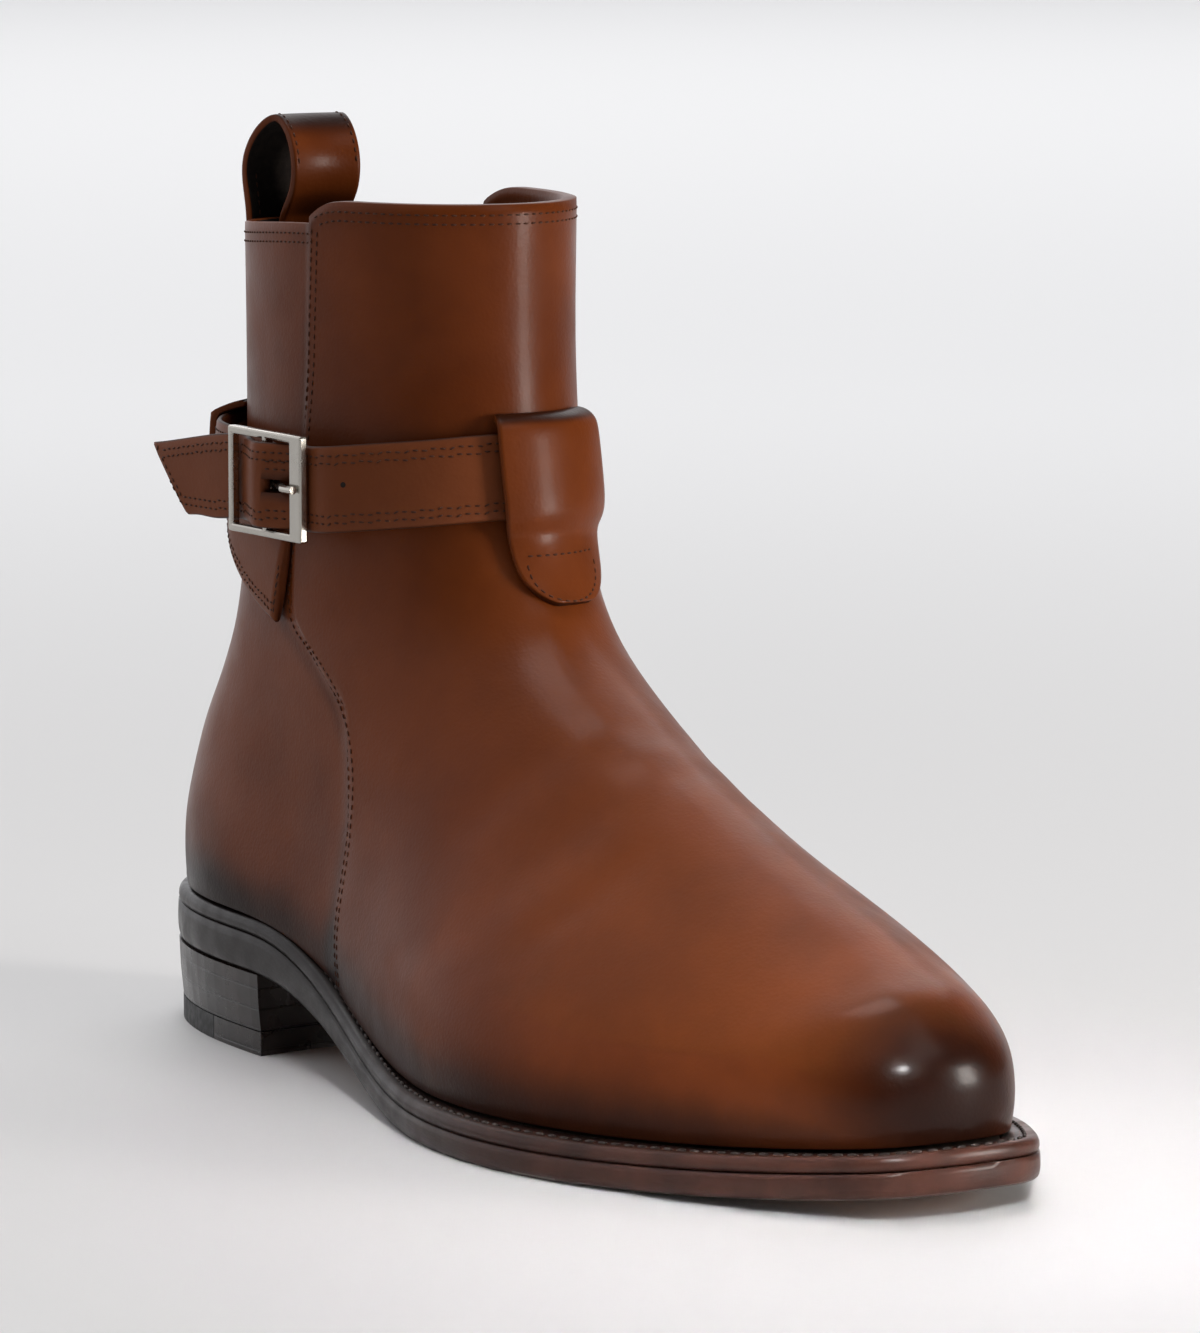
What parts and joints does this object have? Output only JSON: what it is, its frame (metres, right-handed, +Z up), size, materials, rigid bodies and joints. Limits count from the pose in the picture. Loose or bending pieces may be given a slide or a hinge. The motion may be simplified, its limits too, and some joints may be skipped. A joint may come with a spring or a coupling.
{
  "type": "jodhpur boot",
  "caption": "Right ankle boot in brown leather with a wrap-round buckled strap, strap loops, pull loop, stitched welt, leather sole and stacked heel",
  "frame": {"origin": "on the floor, in the flat underside of the heel's leather half, on the boot's middle line", "axes": "+X points to the toe, +Y to the inner side of the foot, +Z up; the outer side faces -Y"},
  "size_m": [0.3073, 0.1079, 0.2126],
  "materials": {
    "upper_leather": "polished brown calf leather, darker towards the toe",
    "strap_leather": "brown calf leather, stitched along both edges",
    "sole_leather": "oiled tan sole leather with dark burnished edges",
    "welt_leather": "dark burnished welt with stitches",
    "insole_leather": "plain insole leather",
    "heel_leather": "dark waxed heel lifts",
    "lift_leather": "tan sole leather",
    "rubber": "matt black rubber",
    "nickel": "polished nickel plate"
  },
  "bodies": {
    "root": {"outsole": "sole_leather", "welt": "welt_leather", "insole": "insole_leather", "heel_stack": "heel_leather", "top_piece_leather": "lift_leather", "top_piece_rubber": "rubber", "upper": "upper_leather", "back_stay": "upper_leather", "long_strap": "strap_leather", "buckle_strap": "strap_leather", "front_loop": "strap_leather", "back_loop": "strap_leather", "pull_loop": "strap_leather", "buckle_frame": "nickel", "buckle_prong": "nickel"}
  },
  "joints": []
}
